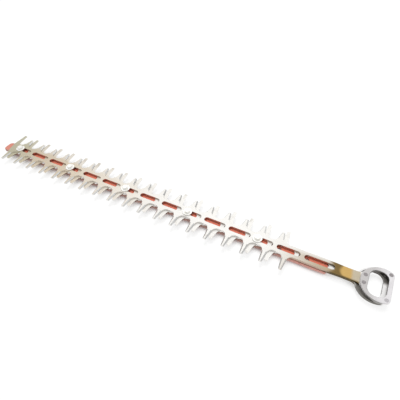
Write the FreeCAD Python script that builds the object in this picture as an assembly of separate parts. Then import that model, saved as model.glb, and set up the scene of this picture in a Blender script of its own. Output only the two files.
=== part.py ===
import FreeCAD, Part
import math
import os

Vector = FreeCAD.Vector

# Driving dimensions, in millimetres and degrees.

# Tooth rows: blunt long teeth on one side of each blade, short cutting teeth on the other.
TOOTH_PITCH = 35.0
LONG_TOOTH_COUNT = 19
SHORT_TOOTH_COUNT = 18
LONG_TOOTH_REACH = 41.5
SHORT_TOOTH_REACH = 33.5
LONG_TIP_WIDTH = 6.0
SHORT_TIP_WIDTH = 6.0
LONG_FLANK_ANGLE = 4.5
SHORT_FLANK_ANGLE = 10.0
LONG_GULLET_RADIUS = 9.0
SHORT_GULLET_RADIUS = 8.0
TIP_CORNER_RADIUS = 1.5
BEVEL_WIDTH = 2.0
BEVEL_LAND = 1.0

# Pitches from the drive-end bolt to the last tooth of each row.
LAST_LONG_TOOTH_PITCHES = 1.25
LAST_SHORT_TOOTH_PITCHES = 0.75

# Blade body.
BLADE_THICKNESS = 3.0
SPINE_WIDTH = 22.0
NOSE_SETBACK = 4.0
NOSE_CORNER_RADIUS = 3.0
NOSE_BLEND_RADIUS = 15.0
NECK_WIDTH = 20.5
NECK_LENGTH = 68.0
LOWER_NECK_EXTRA = 3.0
NECK_FILLET_RADIUS = 12.0

# Slots along the spine.
PITCHES_PER_BOLT = 4
BOLT_COUNT = 5
BOLT_SLOT_LENGTH = 35.0
SLOT_WEB = 7.0
DRIVE_SLOT_LENGTH = 52.0

# Yoke at the drive end.
YOKE_SIDE_WALL = 8.0
YOKE_NECK_WALL = 13.0
YOKE_END_WALL = 7.0
YOKE_CORNER_RADIUS = 8.0
YOKE_SLOT_WIDTH = 30.0
YOKE_SLOT_LENGTH = 50.0
YOKE_SLOT_CORNER_RADIUS = 13.0
YOKE_PLATE_THICKNESS = 2.5
YOKE_PLATE_CHAMFER = 0.5
RIVET_DIAMETER = 5.0
RIVET_HEAD_DIAMETER = 7.0
RIVET_HEAD_DEPTH = 1.0
NECK_RIVET_SPACING = 16.0
CORNER_RIVET_INSET = 5.6

# Guide bar.
BAR_SIDE_REACH = 1.5
BAR_THICKNESS = 4.5
BAR_TIP_REACH = 11.0
BAR_DRIVE_OVERHANG = 35.0
BAR_TIP_CORNER_RADIUS = 8.0
BAR_DRIVE_CORNER_RADIUS = 3.0
BAR_EDGE_CHAMFER = 0.4
GEAR_CASE_HOLE_DIAMETER = 6.6

# Blade bolts with their collars, washers and lock nuts.
BOLT_DIAMETER = 6.0
BOLT_HEAD_FLATS = 10.0
BOLT_HEAD_HEIGHT = 4.0
BOLT_END_CHAMFER = 0.6
BOLT_END_RECESS = 0.5
HEX_CHAMFER_ANGLE = 30.0
HEX_FACE_SHARE = 0.95
COLLAR_DIAMETER = 10.0
WASHER_DIAMETER = 18.0
WASHER_THICKNESS = 1.6
WASHER_CHAMFER = 0.3
NUT_FLATS = 10.0
NUT_HEX_HEIGHT = 4.5
NUT_COLLAR_DIAMETER = 9.2
NUT_COLLAR_HEIGHT = 1.5
NUT_COLLAR_CHAMFER = 0.4
LOCK_RING_DIAMETER = 7.4
LOCK_RING_RECESS = 0.2

# Fits and rest places.
RUN_CLEARANCE = 0.1
COLLAR_SIDE_CLEARANCE = 0.1
BOLT_HOLE_CLEARANCE = 0.2
UPPER_STOP_GAP = 0.9
LOWER_REST_SHIFT = 2.0

# Least straight stretch kept between two rounded corners, and least crest between two bevels.
LEAST_STRAIGHT = 0.5
LEAST_CREST = 1.0

# Spare length by which a cutter runs past the faces it cuts.
OVERRUN = 1.0

# Levels and lengths closer than this count as equal.
TOLERANCE = 1e-6


# Places worked out from the driving dimensions.
bolt_spacing = PITCHES_PER_BOLT * TOOTH_PITCH
slot_width = COLLAR_DIAMETER + 2 * COLLAR_SIDE_CLEARANCE
long_slot_length = (bolt_spacing - BOLT_SLOT_LENGTH - 3 * SLOT_WEB) / 2
bolt_hole_diameter = BOLT_DIAMETER + 2 * BOLT_HOLE_CLEARANCE

# Distances from the drive-end bolt to the slots beyond it, and to the gear case holes, which
# stand as far from their slots' ends as the bolts do.
first_slot_start = BOLT_SLOT_LENGTH / 2 + SLOT_WEB
second_slot_start = first_slot_start + long_slot_length + SLOT_WEB
first_gear_hole = first_slot_start + BOLT_SLOT_LENGTH / 2
second_gear_hole = second_slot_start + BOLT_SLOT_LENGTH / 2

# The origin lies midway between the two gear case holes, on the bar's underside.
drive_bolt_x = -(first_gear_hole + second_gear_hole) / 2
bolt_places = [drive_bolt_x - i * bolt_spacing for i in range(BOLT_COUNT)]
gear_hole_places = [drive_bolt_x + first_gear_hole, drive_bolt_x + second_gear_hole]
yoke_x = drive_bolt_x + second_slot_start + DRIVE_SLOT_LENGTH + NECK_LENGTH

last_long_tooth_x = drive_bolt_x + LAST_LONG_TOOTH_PITCHES * TOOTH_PITCH
last_short_tooth_x = drive_bolt_x + LAST_SHORT_TOOTH_PITCHES * TOOTH_PITCH

# Levels, from the bar's underside up.
lower_blade_bottom = BAR_THICKNESS + RUN_CLEARANCE
lower_blade_top = lower_blade_bottom + BLADE_THICKNESS
upper_blade_bottom = lower_blade_top + RUN_CLEARANCE
collar_length = 2 * BLADE_THICKNESS + 3 * RUN_CLEARANCE
washer_bottom = BAR_THICKNESS + collar_length
head_bottom = washer_bottom + WASHER_THICKNESS
nut_bottom = -NUT_HEX_HEIGHT - NUT_COLLAR_HEIGHT

# Rest places of the blades, measured from the middle of their travel.
half_travel = (BOLT_SLOT_LENGTH - slot_width) / 2
upper_rest_shift = half_travel - UPPER_STOP_GAP


def line(start, end):
    return Part.LineSegment(start, end).toShape()


def arc(start, middle, end):
    return Part.Arc(start, middle, end).toShape()


def arc_about(centre, radius, start, end):
    """The shorter arc about a centre that joins two points on its circle."""
    middle_direction = (start - centre) + (end - centre)
    middle_direction.normalize()
    return arc(start, centre + middle_direction * radius, end)


def rounded_path(corners, closed=False):
    """Straight edges through (x, y, radius) corners, each corner rounded by a tangent arc."""
    points = [Vector(x, y, 0) for x, y, radius in corners]
    count = len(points)
    entries = []
    exits = []
    arcs = []
    for i, (x, y, radius) in enumerate(corners):
        ends_path = not closed and i in (0, count - 1)
        if ends_path or radius <= 0:
            entries.append(points[i])
            exits.append(points[i])
            arcs.append(None)
            continue
        back = (points[i - 1] - points[i]).normalize()
        ahead = (points[(i + 1) % count] - points[i]).normalize()
        half_angle = back.getAngle(ahead) / 2
        setback = radius / math.tan(half_angle)
        inward = (back + ahead).normalize()
        centre = points[i] + inward * (radius / math.sin(half_angle))
        entries.append(points[i] + back * setback)
        exits.append(points[i] + ahead * setback)
        arcs.append(arc(entries[i], centre - inward * radius, exits[i]))
    edges = []
    for i in range(count):
        if arcs[i]:
            edges.append(arcs[i])
        following = (i + 1) % count
        last_of_open_path = not closed and i == count - 1
        if not last_of_open_path and (exits[i] - entries[following]).Length > TOLERANCE:
            edges.append(line(exits[i], entries[following]))
    return edges


def plate(edges, bottom, thickness):
    """A flat plate of the given outline, standing on the level bottom."""
    face = Part.Face(Part.Wire(Part.__sortEdges__(edges)))
    solid = face.extrude(Vector(0, 0, thickness))
    solid.translate(Vector(0, 0, bottom))
    return solid


def slot_tool(middle_x, length, bottom, height):
    """The cutter for a round-ended slot along the spine."""
    half = slot_width / 2
    reach = length / 2 - half
    low_left = Vector(middle_x - reach, -half, 0)
    low_right = Vector(middle_x + reach, -half, 0)
    high_left = Vector(middle_x - reach, half, 0)
    high_right = Vector(middle_x + reach, half, 0)
    edges = [
        line(low_left, low_right),
        arc(low_right, Vector(middle_x + length / 2, 0, 0), high_right),
        line(high_right, high_left),
        arc(high_left, Vector(middle_x - length / 2, 0, 0), low_left),
    ]
    return plate(edges, bottom, height)


def moved_out(shape, distance):
    """A copy of a shape, moved along the cutter towards the drive end."""
    moved = shape.copy()
    moved.translate(Vector(distance, 0, 0))
    return moved


def cylinder(x, y, diameter, bottom, height):
    return Part.makeCylinder(diameter / 2, height, Vector(x, y, bottom))


def root_half_width(tip_width, reach, flank_angle):
    """Half of a tooth's width where its flanks would meet the spine's edge."""
    return tip_width / 2 + (reach - SPINE_WIDTH / 2) * math.tan(math.radians(flank_angle))


long_root_half = root_half_width(LONG_TIP_WIDTH, LONG_TOOTH_REACH, LONG_FLANK_ANGLE)
short_root_half = root_half_width(SHORT_TIP_WIDTH, SHORT_TOOTH_REACH, SHORT_FLANK_ANGLE)


def root_setback(flank_angle):
    """How far a gullet's corner arc of radius 1 reaches along the flank and along the spine."""
    return math.tan(math.radians(90 - flank_angle) / 2)


def gullet_radius(wanted, root_half, flank_angle):
    """The gullet's corner radius, limited so that two corners fit between a pair of teeth."""
    room = (TOOTH_PITCH - 2 * root_half - LEAST_STRAIGHT) / 2
    return min(wanted, room / root_setback(flank_angle))


long_gullet_radius = gullet_radius(LONG_GULLET_RADIUS, long_root_half, LONG_FLANK_ANGLE)
short_gullet_radius = gullet_radius(SHORT_GULLET_RADIUS, short_root_half, SHORT_FLANK_ANGLE)
bevel_width = min(BEVEL_WIDTH, (min(LONG_TIP_WIDTH, SHORT_TIP_WIDTH) - LEAST_CREST) / 2)

# The nose slopes back from the long row's end, as far as the short row's last gullet leaves room.
long_row_end_x = last_long_tooth_x - (LONG_TOOTH_COUNT - 1) * TOOTH_PITCH - long_root_half
short_row_end_x = last_short_tooth_x - (SHORT_TOOTH_COUNT - 1) * TOOTH_PITCH - short_root_half
short_row_end_x -= short_gullet_radius * root_setback(SHORT_FLANK_ANGLE)
nose_x = min(long_row_end_x + NOSE_SETBACK, short_row_end_x - NOSE_CORNER_RADIUS - LEAST_CREST)


def tooth_corners(middle_x, side, tip_half, root_half, reach, left_radius, right_radius):
    """One tooth's four corners from left to right, on the side +1 or -1 of the centre line."""
    spine_edge = side * SPINE_WIDTH / 2
    tip = side * reach
    return [
        (middle_x - root_half, spine_edge, left_radius),
        (middle_x - tip_half, tip, TIP_CORNER_RADIUS),
        (middle_x + tip_half, tip, TIP_CORNER_RADIUS),
        (middle_x + root_half, spine_edge, right_radius),
    ]


def long_row_corners():
    """The row of blunt long teeth, from the nose to the shank, below the centre line."""
    corners = []
    for i in reversed(range(LONG_TOOTH_COUNT)):
        left_radius = NOSE_BLEND_RADIUS if i == LONG_TOOTH_COUNT - 1 else long_gullet_radius
        corners += tooth_corners(
            last_long_tooth_x - i * TOOTH_PITCH, -1, LONG_TIP_WIDTH / 2, long_root_half,
            LONG_TOOTH_REACH, left_radius, long_gullet_radius)
    return corners


def short_row_corners():
    """The row of short cutting teeth, from the nose to the shank, above the centre line."""
    corners = []
    for i in reversed(range(SHORT_TOOTH_COUNT)):
        corners += tooth_corners(
            last_short_tooth_x - i * TOOTH_PITCH, 1, SHORT_TIP_WIDTH / 2, short_root_half,
            SHORT_TOOTH_REACH, short_gullet_radius, short_gullet_radius)
    return corners


# The yoke's outline: a disc with a flat end, its disc centred a little beyond the slot.
yoke_radius = YOKE_SLOT_LENGTH / 2 + YOKE_SIDE_WALL
disc_centre = Vector(yoke_x - YOKE_SLOT_WIDTH / 2 - YOKE_NECK_WALL + yoke_radius, 0, 0)
yoke_slot_corner_radius = min(YOKE_SLOT_CORNER_RADIUS, (YOKE_SLOT_WIDTH - LEAST_STRAIGHT) / 2)
yoke_end_x = yoke_x + YOKE_SLOT_WIDTH / 2 + YOKE_END_WALL
yoke_corner_x = yoke_end_x - YOKE_CORNER_RADIUS
yoke_corner_y = math.sqrt(
    (yoke_radius - YOKE_CORNER_RADIUS) ** 2 - (yoke_corner_x - disc_centre.x) ** 2)
neck_half = NECK_WIDTH / 2
neck_fillet_y = neck_half + NECK_FILLET_RADIUS
neck_fillet_x = disc_centre.x - math.sqrt(
    (yoke_radius + NECK_FILLET_RADIUS) ** 2 - neck_fillet_y ** 2)


def on_disc(point):
    """The point of the yoke's disc edge that lies towards another point."""
    return disc_centre + (point - disc_centre).normalize() * yoke_radius


def yoke_end_edges():
    """The yoke's flat end with its two corners, and the corners' start points on the disc."""
    edges = []
    starts = []
    for side in (-1, 1):
        corner = Vector(yoke_corner_x, side * yoke_corner_y, 0)
        on_end = Vector(yoke_end_x, side * yoke_corner_y, 0)
        starts.append(on_disc(corner))
        edges.append(arc_about(corner, YOKE_CORNER_RADIUS, starts[-1], on_end))
    low = Vector(yoke_end_x, -yoke_corner_y, 0)
    high = Vector(yoke_end_x, yoke_corner_y, 0)
    edges.append(line(low, high))
    return edges, starts


def blade_outline(neck_extra):
    """A whole blade: both tooth rows, the nose, the shank and the yoke at the end of its neck."""
    spine_half = SPINE_WIDTH / 2
    slots_end = drive_bolt_x + second_slot_start + DRIVE_SLOT_LENGTH
    neck_end = neck_fillet_x + neck_extra
    neck_start = slots_end + (neck_end - slots_end) / 2
    shank_below = [(slots_end, -spine_half, 0), (neck_start, -neck_half, 0)]
    shank_above = [(slots_end, spine_half, 0), (neck_start, neck_half, 0)]
    path = [(neck_end, neck_half, 0)] + shank_above[::-1] + short_row_corners()[::-1]
    path += [(nose_x, spine_half, NOSE_CORNER_RADIUS)]
    path += long_row_corners() + shank_below + [(neck_end, -neck_half, 0)]
    yoke_edges, corner_starts = yoke_end_edges()
    for side, corner_start in zip((-1, 1), corner_starts):
        fillet_centre = Vector(neck_fillet_x, side * neck_fillet_y, 0)
        on_shank = Vector(neck_fillet_x, side * neck_half, 0)
        on_yoke = on_disc(fillet_centre)
        yoke_edges.append(arc_about(fillet_centre, NECK_FILLET_RADIUS, on_shank, on_yoke))
        yoke_edges.append(arc_about(disc_centre, yoke_radius, on_yoke, corner_start))
    return rounded_path(path) + [moved_out(edge, neck_extra) for edge in yoke_edges]


def yoke_outline():
    """The yoke alone, without the shank, for the plate riveted over it."""
    end_edges, corner_starts = yoke_end_edges()
    back = disc_centre - Vector(yoke_radius, 0, 0)
    return end_edges + [arc(corner_starts[0], back, corner_starts[1])]


def rivet_places():
    """Two rivets in the wall beside the neck and two in the corners of the flat end."""
    neck_y = NECK_RIVET_SPACING / 2
    slot_side_x = yoke_x - YOKE_SLOT_WIDTH / 2
    disc_edge_x = disc_centre.x - math.sqrt(yoke_radius ** 2 - neck_y ** 2)
    neck_x = (slot_side_x + disc_edge_x) / 2
    corner_x = yoke_end_x - CORNER_RIVET_INSET
    corner_y = math.sqrt((yoke_radius - CORNER_RIVET_INSET) ** 2 - (corner_x - disc_centre.x) ** 2)
    places = []
    for side in (-1, 1):
        places.append((neck_x, side * neck_y))
        places.append((corner_x, side * corner_y))
    return places


def rivet(x, y):
    """A flush rivet through a blade and its yoke plate, with a countersunk head at each end."""
    height = BLADE_THICKNESS + YOKE_PLATE_THICKNESS
    shank_radius = RIVET_DIAMETER / 2
    head_radius = RIVET_HEAD_DIAMETER / 2
    shank = cylinder(x, y, RIVET_DIAMETER, 0, height)
    inner_head = Part.makeCone(head_radius, shank_radius, RIVET_HEAD_DEPTH, Vector(x, y, 0))
    outer_head = Part.makeCone(
        shank_radius, head_radius, RIVET_HEAD_DEPTH, Vector(x, y, height - RIVET_HEAD_DEPTH))
    return shank.fuse([inner_head, outer_head]).removeSplitter()


def yoke_slot_tool(bottom, height):
    """The cutter for the slot across the yoke, in which a round eccentric runs."""
    half = YOKE_SLOT_WIDTH / 2
    half_length = YOKE_SLOT_LENGTH / 2
    corners = [(-half, -half_length), (half, -half_length), (half, half_length), (-half, half_length)]
    path = [(yoke_x + x, y, yoke_slot_corner_radius) for x, y in corners]
    return plate(rounded_path(path, closed=True), bottom, height)


def spine_slot_tools():
    """Cutters for the bolt slots and for the two longer slots that follow each of them."""
    bottom = -OVERRUN
    height = BLADE_THICKNESS + 2 * OVERRUN
    tools = []
    for i, bolt_x in enumerate(bolt_places):
        second_length = DRIVE_SLOT_LENGTH if i == 0 else long_slot_length
        places = [
            (bolt_x, BOLT_SLOT_LENGTH),
            (bolt_x + first_slot_start + long_slot_length / 2, long_slot_length),
            (bolt_x + second_slot_start + second_length / 2, second_length),
        ]
        for middle_x, length in places:
            tools.append(slot_tool(middle_x, length, bottom, height))
    return tools


def bevel_tool(start, end):
    """A wedge that grinds the outer face back along a tooth's flank, from start to end."""
    along = end - start
    length = along.Length
    along.normalize()
    inward = Vector(along.y, -along.x, 0)
    edge = start + Vector(0, 0, BEVEL_LAND)
    crest = start + inward * bevel_width + Vector(0, 0, BLADE_THICKNESS)
    beyond = (crest - edge).normalize() * OVERRUN
    low = edge - beyond
    high = crest + beyond
    corner = Vector(low.x, low.y, high.z)
    face = Part.Face(Part.makePolygon([low, high, corner, low]))
    return face.extrude(along * length)


def flank_bevel_tools():
    """Cutters for the ground bevels on both flanks of every tooth."""
    rows = [
        (-1, last_long_tooth_x, LONG_TOOTH_COUNT, LONG_TIP_WIDTH / 2, long_root_half,
         LONG_TOOTH_REACH, long_gullet_radius, LONG_FLANK_ANGLE),
        (1, last_short_tooth_x, SHORT_TOOTH_COUNT, SHORT_TIP_WIDTH / 2, short_root_half,
         SHORT_TOOTH_REACH, short_gullet_radius, SHORT_FLANK_ANGLE),
    ]
    tools = []
    for side, last_x, count, tip_half, root_half, reach, radius, angle in rows:
        gullet_setback = radius * root_setback(angle)
        for i in range(count):
            middle_x = last_x - i * TOOTH_PITCH
            for hand in (-1, 1):
                root = Vector(middle_x + hand * root_half, side * SPINE_WIDTH / 2, 0)
                tip = Vector(middle_x + hand * tip_half, side * reach, 0)
                along = (tip - root).normalize()
                start = root + along * gullet_setback
                end = tip + along * OVERRUN
                if side * hand < 0:
                    tools.append(bevel_tool(start, end))
                else:
                    tools.append(bevel_tool(end, start))
    return tools


def make_blade(neck_extra):
    """A blade with its sliding face at level 0, its bevels and yoke plate side up."""
    blade = plate(blade_outline(neck_extra), 0, BLADE_THICKNESS)
    yoke_tools = [yoke_slot_tool(-OVERRUN, BLADE_THICKNESS + 2 * OVERRUN)]
    yoke_tools += [rivet(x, y) for x, y in rivet_places()]
    blade = blade.cut(spine_slot_tools() + [moved_out(tool, neck_extra) for tool in yoke_tools])
    return blade.cut(flank_bevel_tools()).Solids[0]


def make_yoke_plate():
    """The plate riveted on the yoke's outer face, its outer rims broken by a chamfer."""
    body = plate(yoke_outline(), BLADE_THICKNESS, YOKE_PLATE_THICKNESS)
    body = body.cut(yoke_slot_tool(BLADE_THICKNESS - OVERRUN,
                                   YOKE_PLATE_THICKNESS + 2 * OVERRUN))
    top = BLADE_THICKNESS + YOKE_PLATE_THICKNESS
    rims = [edge for edge in body.Edges if edge.BoundBox.ZMin > top - TOLERANCE]
    body = body.makeChamfer(YOKE_PLATE_CHAMFER, rims)
    return body.cut([rivet(x, y) for x, y in rivet_places()]).Solids[0]


def make_yoke_rivets():
    return Part.makeCompound([rivet(x, y) for x, y in rivet_places()])


def place_upper(shape):
    """Sets a blade piece as part of the upper blade, its sliding face down."""
    placed = shape.copy()
    placed.translate(Vector(upper_rest_shift, 0, upper_blade_bottom))
    return placed


def place_lower(shape):
    """Turns a blade piece over about the long axis, as part of the lower blade."""
    placed = shape.copy()
    placed.rotate(Vector(0, 0, 0), Vector(1, 0, 0), 180)
    placed.translate(Vector(LOWER_REST_SHIFT, 0, lower_blade_top))
    return placed


def make_guide_bar():
    """The flat bar that carries the bolts, with the gear case holes at its drive end."""
    half = SPINE_WIDTH / 2 + BAR_SIDE_REACH
    tip_x = long_row_end_x - BAR_TIP_REACH
    drive_x = gear_hole_places[1] + BAR_DRIVE_OVERHANG
    path = rounded_path([
        (tip_x, -half, BAR_TIP_CORNER_RADIUS),
        (drive_x, -half, BAR_DRIVE_CORNER_RADIUS),
        (drive_x, half, BAR_DRIVE_CORNER_RADIUS),
        (tip_x, half, BAR_TIP_CORNER_RADIUS),
    ], closed=True)
    bar = plate(path, 0, BAR_THICKNESS)
    rims = [edge for edge in bar.Edges if edge.BoundBox.ZLength < TOLERANCE]
    bar = bar.makeChamfer(BAR_EDGE_CHAMFER, rims)
    holes = [(x, bolt_hole_diameter) for x in bolt_places]
    holes += [(x, GEAR_CASE_HOLE_DIAMETER) for x in gear_hole_places]
    height = BAR_THICKNESS + 2 * OVERRUN
    return bar.cut([cylinder(x, 0, diameter, -OVERRUN, height) for x, diameter in holes])


def hexagon(x, flats, bottom, height):
    """A hexagonal prism of a given width across its flats."""
    radius = flats / math.sqrt(3)
    points = []
    for i in range(7):
        angle = math.radians(60 * i)
        points.append(Vector(x + radius * math.cos(angle), radius * math.sin(angle), bottom))
    return Part.Face(Part.makePolygon(points)).extrude(Vector(0, 0, height))


def chamfered_hexagon(x, flats, bottom, height, chamfer_at_top):
    """A hexagon whose corners are turned off by a cone at its free end."""
    prism = hexagon(x, flats, bottom, height)
    slope = math.tan(math.radians(HEX_CHAMFER_ANGLE))
    small = HEX_FACE_SHARE * flats / 2
    large = small + height / slope
    if chamfer_at_top:
        cone = Part.makeCone(large, small, height, Vector(x, 0, bottom))
    else:
        cone = Part.makeCone(small, large, height, Vector(x, 0, bottom))
    return prism.common(cone)


def bolt(x):
    """A hexagon bolt whose plain shank reaches down through the collar, the bar and the nut."""
    radius = BOLT_DIAMETER / 2
    end = nut_bottom + BOLT_END_RECESS
    head = chamfered_hexagon(x, BOLT_HEAD_FLATS, head_bottom, BOLT_HEAD_HEIGHT, True)
    end_cone = Part.makeCone(radius - BOLT_END_CHAMFER, radius, BOLT_END_CHAMFER, Vector(x, 0, end))
    shank_bottom = end + BOLT_END_CHAMFER
    shank = cylinder(x, 0, BOLT_DIAMETER, shank_bottom, head_bottom - shank_bottom)
    return head.fuse([shank, end_cone]).removeSplitter()


def washer(x):
    """A flat washer that lies on the collar, clear of the upper blade."""
    disc = cylinder(x, 0, WASHER_DIAMETER, washer_bottom, WASHER_THICKNESS)
    rims = [edge for edge in disc.Edges if edge.BoundBox.ZLength < TOLERANCE]
    disc = disc.makeChamfer(WASHER_CHAMFER, rims)
    hole_bottom = washer_bottom - OVERRUN
    return disc.cut(cylinder(x, 0, bolt_hole_diameter, hole_bottom, WASHER_THICKNESS + 2 * OVERRUN))


def collar(x):
    """The sleeve on which both blades slide, clamped between the washer and the bar."""
    sleeve = cylinder(x, 0, COLLAR_DIAMETER, BAR_THICKNESS, collar_length)
    hole_bottom = BAR_THICKNESS - OVERRUN
    return sleeve.cut(cylinder(x, 0, bolt_hole_diameter, hole_bottom, collar_length + 2 * OVERRUN))


def lock_nut(x):
    """A lock nut under the bar: a hexagon with the round collar that holds its locking ring."""
    body = chamfered_hexagon(x, NUT_FLATS, -NUT_HEX_HEIGHT, NUT_HEX_HEIGHT, False)
    rim = cylinder(x, 0, NUT_COLLAR_DIAMETER, nut_bottom, NUT_COLLAR_HEIGHT)
    edges = [edge for edge in rim.Edges if edge.BoundBox.ZMax < nut_bottom + TOLERANCE]
    rim = rim.makeChamfer(NUT_COLLAR_CHAMFER, edges)
    nut = body.fuse(rim).removeSplitter()
    hole_height = NUT_HEX_HEIGHT + NUT_COLLAR_HEIGHT + 2 * OVERRUN
    hole = cylinder(x, 0, BOLT_DIAMETER, nut_bottom - OVERRUN, hole_height)
    seat = cylinder(x, 0, LOCK_RING_DIAMETER, nut_bottom - OVERRUN, NUT_COLLAR_HEIGHT + OVERRUN)
    return nut.cut([hole, seat])


def lock_ring(x):
    """The plastic ring pressed into a lock nut's round collar."""
    bottom = nut_bottom + LOCK_RING_RECESS
    height = NUT_COLLAR_HEIGHT - LOCK_RING_RECESS
    ring = cylinder(x, 0, LOCK_RING_DIAMETER, bottom, height)
    return ring.cut(cylinder(x, 0, BOLT_DIAMETER, bottom - OVERRUN, height + 2 * OVERRUN))


def group(make_piece):
    """One like piece at every blade bolt, as separate solids."""
    return Part.makeCompound([make_piece(x) for x in bolt_places])


def write(name, shape):
    shape.exportStep("parts/" + name + ".step")


def main():
    os.makedirs("parts", exist_ok=True)
    write("guide_bar", make_guide_bar())
    yoke_plate = make_yoke_plate()
    yoke_rivets = make_yoke_rivets()
    for name, place, neck_extra in (("upper", place_upper, 0), ("lower", place_lower, LOWER_NECK_EXTRA)):
        write(name + "_blade", place(make_blade(neck_extra)))
        write(name + "_yoke_plate", place(moved_out(yoke_plate, neck_extra)))
        write(name + "_yoke_rivets", place(moved_out(yoke_rivets, neck_extra)))
    for i, x in enumerate(bolt_places):
        write("slide_collar_" + str(i + 1), collar(x))
    write("bolt_washers", group(washer))
    write("blade_bolts", group(bolt))
    write("lock_nuts", group(lock_nut))
    write("nut_lock_rings", group(lock_ring))


main()
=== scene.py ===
import math
from typing import NamedTuple

import bmesh
import bpy
from bpy.props import FloatProperty, FloatVectorProperty, PointerProperty
from mathutils import Euler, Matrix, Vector


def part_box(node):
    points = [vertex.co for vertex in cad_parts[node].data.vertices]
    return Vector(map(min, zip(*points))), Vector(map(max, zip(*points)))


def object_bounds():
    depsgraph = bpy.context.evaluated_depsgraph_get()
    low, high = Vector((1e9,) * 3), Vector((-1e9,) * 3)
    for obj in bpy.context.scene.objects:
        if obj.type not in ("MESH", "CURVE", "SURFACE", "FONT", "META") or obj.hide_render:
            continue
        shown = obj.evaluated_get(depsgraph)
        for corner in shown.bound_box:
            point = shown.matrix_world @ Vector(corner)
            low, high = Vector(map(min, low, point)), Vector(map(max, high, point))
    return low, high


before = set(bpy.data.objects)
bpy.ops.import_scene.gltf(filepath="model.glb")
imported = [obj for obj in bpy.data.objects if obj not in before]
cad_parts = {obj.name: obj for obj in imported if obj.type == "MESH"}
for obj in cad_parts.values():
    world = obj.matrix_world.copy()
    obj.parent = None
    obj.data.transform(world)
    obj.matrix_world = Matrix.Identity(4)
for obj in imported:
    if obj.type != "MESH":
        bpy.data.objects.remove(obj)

bl_info = {
    "name": "Hedge Trimmer Blade",
    "version": (1, 0, 0),
    "blender": (4, 5, 0),
    "location": "View3D > Sidebar > Hedge Blade",
    "description": "Finishes of a double-sided hedge trimmer cutter, and the studio it lies in",
    "category": "Object",
}

CAD_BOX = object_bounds()
FLOOR_LEVEL = CAD_BOX[0].z
BOLT_COUNT = 5
COLLARS = ["slide_collar_%d" % number for number in range(1, BOLT_COUNT + 1)]


def middle_of(node):
    """The middle of a CAD node's box."""
    low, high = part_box(node)
    return (low + high) / 2


FIRST_BOLT_X = middle_of(COLLARS[0]).x
BOLT_SPACING = FIRST_BOLT_X - middle_of(COLLARS[1]).x


def colour(name, description, default):
    """A colour that a user may change."""
    return FloatVectorProperty(
        name=name, description=description, default=default, size=3, min=0, max=1, subtype="COLOR")


def length(name, description, default):
    """A length that a user may change, in metres."""
    return FloatProperty(name=name, description=description, default=default, unit="LENGTH", precision=5)


def share(name, description, default):
    """A share from none to all that a user may change."""
    return FloatProperty(name=name, description=description, default=default, min=0, max=1, subtype="FACTOR")


def power(name, description, default):
    """A strength of light that a user may change."""
    return FloatProperty(name=name, description=description, default=default, min=0)


class BladeFinish(bpy.types.PropertyGroup):
    """Ground blade steel with its cut edges, the sap on it and the heat tints on the shank, and painted
    shade at the roots, in the slots, round the yokes and towards the tip.
    """
    ground: colour("Ground Steel", "Flat faces of the blades", (0.90, 0.885, 0.86))
    # Partly painted shade: besides dried sap, this colour stands for the light falling off towards the tip.
    tip: colour("Tip Steel", "Flat faces towards the tip, where sap has dulled them", (0.775, 0.665, 0.515))
    nose: colour("Nose Steel", "Flat faces at the nose, under a green film of sap", (0.62, 0.60, 0.44))
    edge: colour("Cut Edge", "Thin scale on the walls cut through the plate", (0.90, 0.88, 0.85))
    # Painted shade: this brown on the slots' walls stands for their shade, tinted by the red bar below.
    slot_wall: colour("Slot Wall", "Walls of the slots, under a film of rubbed grease", (0.46, 0.37, 0.31))
    shank_wall: colour("Shank Wall", "Walls of the shank, browned by heat", (0.50, 0.39, 0.31))
    bevel: colour("Ground Bevel", "Fresh ground flanks of the teeth", (0.80, 0.80, 0.79))
    bronze: colour("Bronze Tint", "Heat tint at the end of the slots", (0.22, 0.147, 0.056))
    straw: colour("Straw Tint", "Heat tint in the middle of the shank", (0.64, 0.425, 0.155))
    dull: colour("Dull Tint", "Heat tint beside the yoke", (0.58, 0.51, 0.385))
    warm: colour("Warm Tint", "First faint heat tint on the shank", (0.49, 0.395, 0.275))
    burnt: colour("Burnt Edge", "Heat tint on the shank's walls", (0.10, 0.072, 0.032))
    yoke: colour("Yoke Steel", "Faces and walls of the yoke", (0.90, 0.89, 0.895))
    # Painted shade: this dark colour stands for the shade on the walls in the yoke hole, and on the lower
    # blade's face by the hole's far wall.
    grease: colour("Old Grease", "Dark film in the yoke slots", (0.13, 0.12, 0.112))
    # Painted shade: this dark colour stands for the upper yoke's shadow on the lower yoke's near rim, and
    # for the shade on the upper yoke's nearest walls.
    film: colour("Grease Film", "Dark film on the near rims of the yokes", (0.18, 0.17, 0.155))
    stain: colour("Sap Stain", "Thin brown film between the teeth", (0.40, 0.33, 0.23))
    # Painted shade: this dark brown on the lower blade's near roots stands for the shadow under the upper
    # blade and the bar.
    sap: colour("Dried Sap", "Dark sap on the roots of the lower blade's near teeth", (0.20, 0.13, 0.10))
    bronze_reach: length("Bronze Reach", "From the yoke plate to where the bronze tint begins", 0.0435)
    straw_reach: length("Straw Reach", "From the yoke plate to where the straw tint begins", 0.0320)
    dull_reach: length("Dull Reach", "From the yoke plate to where the dull tint begins", 0.0128)
    warm_reach: length("Warm Reach", "From the yoke plate to where the warm tint begins", 0.165)
    roughness: share("Roughness", "Roughness of the ground faces", 0.42)
    grain: length("Grain", "Spacing of the grinding lines", 0.0007)


class YokeFinish(bpy.types.PropertyGroup):
    """Milled yoke plates with their rivets."""
    plate: colour("Plate Steel", "Flat faces of the yoke plates at the neck", (0.60, 0.58, 0.575))
    polished: colour("Polished Plate", "Flat faces of the yoke plates at the drive end", (0.90, 0.88, 0.905))
    wall: colour("Plate Wall", "Walls of the yoke plates", (0.80, 0.785, 0.785))
    rivet: colour("Rivet Steel", "Rivet heads", (0.43, 0.40, 0.41))
    rubbed: colour("Rubbed Rivet", "Rivet heads at the near corner, rubbed paler", (0.70, 0.675, 0.70))
    roughness: share("Roughness", "Roughness of the plates", 0.38)


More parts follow.
